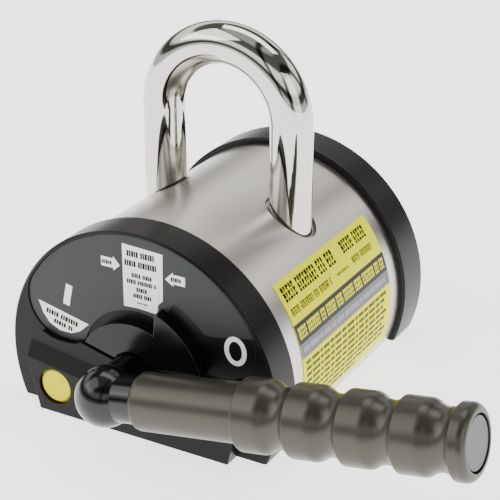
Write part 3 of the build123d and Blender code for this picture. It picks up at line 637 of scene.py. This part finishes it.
@dataclass
class SidePrint:
    """Printing on the label that wraps the right flank.

    Attributes:
        paints: Source of the materials.
        centre_z: Height of the cylinder's axis, in millimetres.
        radius: Radius of the label's face.
        front: Front end along Y, in millimetres.
        rear: Rear end along Y.
        top: Angle of the upper edge above the horizontal, in degrees.
        bottom: Angle of the lower edge.
        lift: Thickness of one ink layer, in millimetres.
        tier_cuts: How much shorter some letters are in each tier of a line, as shares.
        thin_tier: Height of every second tier, as a share of its place.
    """

    paints: Paintbox
    centre_z: float = 23.5
    radius: float = 61.1
    front: float = -41.7
    rear: float = 41.0
    top: float = 41.3
    bottom: float = -16.0
    lift: float = 0.03
    tier_cuts: tuple[float, ...] = (0.0, 0.45, 0.2, 0.45, 0.1)
    thin_tier: float = 0.72

    def patch(self, name: str, spans: list[Point], down: Point, finish: Finish,
              layer: int) -> bpy.types.Object:
        """Prints curved rectangles beside each other, as one piece.

        Args:
            name: Name of the piece.
            spans: Start and end of each along the label, as shares of its length.
            down: Upper and lower edge, as shares of its height.
            finish: Ink.
            layer: Layers above the label.

        Returns:
            The printed piece.
        """
        length = self.rear - self.front
        height = self.top - self.bottom
        reach = (self.radius + self.lift * layer) * MM
        steps = max(2, int(30 * (down[1] - down[0])))
        mesh = bmesh.new()
        for along in spans:
            rows = []
            for i in range(steps + 1):
                share = down[0] + (down[1] - down[0]) * i / steps
                angle = math.radians(self.top - height * share)
                x = reach * math.cos(angle)
                z = self.centre_z * MM + reach * math.sin(angle)
                rows.append([mesh.verts.new((x, (self.front + length * a) * MM, z)) for a in along])
            for upper, lower in zip(rows, rows[1:]):
                mesh.faces.new((upper[0], lower[0], lower[1], upper[1]))
        for face in mesh.faces:
            face.normal_update()
            face.smooth = True
            if face.normal.x < 0:
                face.normal_flip()
        return make_piece(name, mesh, self.paints.material(finish), Body.ROOT)

    def lettering(self, name: str, along: Point, down: Point, pitch: float, finish: Finish,
                  layer: int) -> None:
        """Prints a line of made-up letters, which no one can read, in tiers.

        Args:
            name: Name of the line.
            along: Its start and end, as shares of the label's length.
            down: Its upper and lower edge, as shares of the label's height.
            pitch: Width of one letter with its gap.
            finish: Finish of the ink.
            layer: Layers above the label.

        Returns:
            None.
        """
        words = dashes(along[0], along[1], pitch)
        tier = (down[1] - down[0]) / len(self.tier_cuts)
        for step, share in enumerate(self.tier_cuts):
            spans = [(start, end - (end - start) * (share if index % (step + 2) else 0.0))
                     for index, (start, end) in enumerate(words)]
            upper = down[0] + step * tier
            lower = upper + tier * (self.thin_tier if step % 2 else 1.0)
            self.patch(f"{name}_{step}", spans, (upper, lower), finish, layer)

    def build(self) -> None:
        """Prints the whole label: header, dark band, grey strip and a block of fine lines.

        Returns:
            None.
        """
        header = ((0.03, 0.58, 0.045, 0.15, 0.034), (0.66, 0.93, 0.045, 0.135, 0.034),
                  (0.03, 0.46, 0.20, 0.25, 0.022), (0.52, 0.66, 0.215, 0.235, 0.010),
                  (0.70, 0.95, 0.19, 0.235, 0.022))
        for row, (start, end, upper, lower, pitch) in enumerate(header):
            self.lettering(f"label_header_{row}", (start, end), (upper, lower), pitch, PRINT_INK, 1)
        self.patch("label_band", [(0.0, 1.0)], (0.305, 0.445), PRINT_BLACK, 1)
        self.lettering("label_band_line", (0.02, 0.98), (0.335, 0.415), 0.022, LABEL_FILM, 2)
        self.patch("label_strip", [(0.0, 1.0)], (0.445, 0.545), PRINT_GREY, 1)
        self.patch("label_strip_line", dashes(0.03, 0.96, 0.016), (0.475, 0.512), PRINT_PALE, 2)
        for row in range(9):
            upper = 0.575 + row * 0.046
            end = 0.62 if row == 8 else 0.95 - 0.02 * (row % 3)
            self.patch(f"label_fine_{row}", dashes(0.03, end, 0.014), (upper, upper + 0.026),
                       PRINT_INK, 1)


@dataclass
class ButtonSpring:
    """Coil behind the button.

    Attributes:
        paints: Source of the materials.
        wire: Radius of the wire, in millimetres.
        turns: Number of turns.
        travel: How far the button goes in, in millimetres; not used.
        sides: Corners of the wire's section.
        steps: Sections in a turn.
    """

    paints: Paintbox
    wire: float = 0.45
    turns: int = 3
    travel: float = 3.7
    sides: int = 10
    steps: int = 40

    def build(self) -> None:
        """Winds the coil in the place of the CAD spring.

        Returns:
            None.
        """
        low, high = (Vector(corner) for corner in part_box("button_spring"))
        wire = self.wire * MM
        centre = (low + high) / 2
        radius = (high.x - low.x) / 2 - wire
        length = high.y - low.y - 2 * wire
        mesh = bmesh.new()
        rings = []
        count = self.turns * self.steps
        for step in range(count + 1):
            turn = math.tau * step / self.steps
            out = Vector((math.cos(turn), 0.0, math.sin(turn)))
            back = high.y - wire - length * step / count
            place = Vector((centre.x, back, centre.z)) + radius * out
            rings.append([mesh.verts.new(place + wire * (math.cos(a) * out
                                                         + math.sin(a) * Vector((0.0, 1.0, 0.0))))
                          for a in (math.tau * k / self.sides for k in range(self.sides))])
        for near, far in zip(rings, rings[1:]):
            for k in range(self.sides):
                after = (k + 1) % self.sides
                mesh.faces.new((near[k], near[after], far[after], far[k]))
        mesh.faces.new(rings[0])
        mesh.faces.new(list(reversed(rings[-1])))
        bmesh.ops.recalc_face_normals(mesh, faces=mesh.faces)
        coil = make_piece("button_spring_coil", mesh, self.paints.material(SCREW_STEEL),
                          Body.ROOT)
        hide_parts("button_spring")
        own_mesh(coil)


@dataclass
class CadSkin:
    """Dresses the nodes that come straight from the CAD.

    Attributes:
        paints: Source of the materials.
    """

    frame: dict
    paints: Paintbox

    def build(self) -> None:
        """Gives each CAD node the finish of its slot.

        Returns:
            None.
        """
        slots = {part["node"]: part["material_slot"] for part in self.frame["record"]["subparts"]}
        for name, node in self.frame["nodes"].items():
            material = self.paints.material(CAD_FINISHES[slots[name]])
            node.data.materials.clear()
            node.data.materials.append(material)
            LOG.info("node %s wears %s", name, material.name)


@dataclass(frozen=True)
class Lamp:
    """One soft rectangular lamp.

    Attributes:
        name: Name of the lamp.
        place: Where it hangs.
        size: Width and height.
        watts: Power.
    """

    name: str
    place: tuple[float, float, float]
    size: Point
    watts: float


@dataclass
class Studio:
    """Plain pale floor, soft lamps and the camera.

    Attributes:
        camera_at: Place of the camera.
        target: Point it looks at.
        lens: Focal length in millimetres, on a 36 mm sensor.
        sky_strength: Brightness of the sky.
        floor_glow: Light that the pale floor gives by itself.
        sky_bands: Height share and brightness of each band of the sky.
        sky_flags: Place and brightness of the dark flags that stand beside the object.
        nadir: Colour of the lowest sky.
        zenith: Colour of the highest sky.
        band_tint: Warmth of the bands.
        lamps: The lamps.
        floor_reach: Half the width of the floor.
        floor_gap: Distance from the floor up to the object.
        floor_white: Base colour of the floor.
    """

    camera_at: Vector = field(default_factory=lambda: Vector((0.3094, -0.5259, 0.3316)))
    target: Vector = field(default_factory=lambda: Vector((0.0123, 0.0, 0.0554)))
    lens: float = 111.1
    sky_strength: float = 1.0
    floor_glow: float = 2.1
    sky_bands: tuple[Point, ...] = ((0.08, 0.9), (0.14, 0.10), (0.25, 0.07), (0.33, 1.5),
                                    (0.54, 1.9), (0.62, 0.16), (0.86, 0.12), (0.92, 0.6))
    sky_flags: tuple[Point, ...] = ((0.12, 1.0), (0.17, 0.10), (0.24, 0.10), (0.30, 1.0),
                                    (0.60, 1.0), (0.66, 0.12), (0.74, 0.12), (0.80, 1.0))
    nadir: Colour = (0.9, 0.9, 0.9)
    zenith: Colour = (0.55, 0.54, 0.52)
    band_tint: Colour = (1.0, 0.985, 0.955)
    lamps: tuple[Lamp, ...] = (Lamp("key", (-1.0, -0.8, 1.3), (1.3, 1.3), 13.0),
                               Lamp("fill", (1.4, -0.4, 0.6), (0.9, 1.2), 4.5),
                               Lamp("top", (0.0, 0.5, 1.5), (1.5, 0.6), 9.0))
    floor_reach: float = 6.0
    floor_gap: float = 0.0002
    floor_white: Colour = (0.90, 0.90, 0.90)

    def sky(self) -> None:
        """Hangs a sky of bright and dim bands, which polished metal needs to look polished.

        Returns:
            None.
        """
        world = bpy.data.worlds.new("studio")
        world.use_nodes = True
        nodes = world.node_tree.nodes
        links = world.node_tree.links
        place = nodes.new("ShaderNodeTexCoord")
        split = nodes.new("ShaderNodeSeparateXYZ")
        links.new(place.outputs["Generated"], split.inputs["Vector"])
        height = nodes.new("ShaderNodeValToRGB")
        stops = height.color_ramp
        stops.elements[0].position = 0.0
        stops.elements[0].color = (*self.nadir, 1.0)
        stops.elements[1].position = 1.0
        stops.elements[1].color = (*self.zenith, 1.0)
        for position, level in self.sky_bands:
            stop = stops.elements.new(position)
            stop.color = (*(level * share for share in self.band_tint), 1.0)
        links.new(split.outputs["Z"], height.inputs["Fac"])
        around = nodes.new("ShaderNodeValToRGB")
        turns = around.color_ramp
        for end in turns.elements:
            end.color = (1.0, 1.0, 1.0, 1.0)
        for position, level in self.sky_flags:
            stop = turns.elements.new(position)
            stop.color = (level, level, level, 1.0)
        links.new(split.outputs["X"], around.inputs["Fac"])
        shaded = nodes.new("ShaderNodeMix")
        shaded.data_type = "RGBA"
        shaded.blend_type = "MULTIPLY"
        shaded.inputs["Factor"].default_value = 1.0
        links.new(height.outputs["Color"], shaded.inputs["A"])
        links.new(around.outputs["Color"], shaded.inputs["B"])
        links.new(shaded.outputs["Result"], nodes["Background"].inputs["Color"])
        nodes["Background"].inputs["Strength"].default_value = self.sky_strength
        bpy.context.scene.world = world

    def camera(self) -> None:
        """Places the camera.

        Returns:
            None.
        """
        data = bpy.data.cameras.new("camera")
        data.lens = self.lens
        data.sensor_width = 36.0
        data.clip_start = 0.01
        made = bpy.data.objects.new("camera", data)
        made.location = self.camera_at
        made.rotation_mode = "QUATERNION"
        made.rotation_quaternion = (self.target - self.camera_at).to_track_quat("-Z", "Y")
        bpy.context.scene.collection.objects.link(made)
        bpy.context.scene.camera = made

    def hang(self, lamp: Lamp) -> None:
        """Hangs one lamp so that it faces the object.

        Args:
            lamp: The lamp.

        Returns:
            None.
        """
        data = bpy.data.lights.new(lamp.name, "AREA")
        data.shape = "RECTANGLE"
        data.size, data.size_y = lamp.size
        data.energy = lamp.watts
        made = bpy.data.objects.new(lamp.name, data)
        made.location = lamp.place
        made.rotation_mode = "QUATERNION"
        made.rotation_quaternion = (self.target - Vector(lamp.place)).to_track_quat("-Z", "Y")
        bpy.context.scene.collection.objects.link(made)

    def floor(self) -> None:
        """Lays the floor under the object.

        Returns:
            None.
        """
        low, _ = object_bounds()
        mesh = bmesh.new()
        reach = self.floor_reach
        corners = [(-reach, -reach), (reach, -reach), (reach, reach), (-reach, reach)]
        mesh.faces.new([mesh.verts.new((x, y, low.z - self.floor_gap)) for x, y in corners])
        data = bpy.data.meshes.new("floor")
        mesh.to_mesh(data)
        mesh.free()
        material = bpy.data.materials.new("mat_floor")
        material.use_nodes = True
        shader = material.node_tree.nodes["Principled BSDF"]
        shader.inputs["Base Color"].default_value = (*self.floor_white, 1.0)
        shader.inputs["Roughness"].default_value = 0.9
        shader.inputs["Specular IOR Level"].default_value = 0.1
        shader.inputs["Emission Color"].default_value = (1.0, 1.0, 1.0, 1.0)
        shader.inputs["Emission Strength"].default_value = self.floor_glow
        data.materials.append(material)
        made = bpy.data.objects.new("floor", data)
        bpy.context.scene.collection.objects.link(made)
        made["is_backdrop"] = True

    def build(self) -> None:
        """Sets up the whole studio.

        Returns:
            None.
        """
        self.sky()
        self.camera()
        self.floor()
        for lamp in self.lamps:
            self.hang(lamp)


def main() -> None:
    """Builds the looks.

    Returns:
        None.
    """
    logging.basicConfig(level=logging.INFO)
    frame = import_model()
    paints = Paintbox()
    CadSkin(frame, paints).build()
    DialPrint(paints).build()
    SidePrint(paints).build()
    ButtonSpring(paints).build()
    Studio().build()


if __name__ == "__main__":
    main()
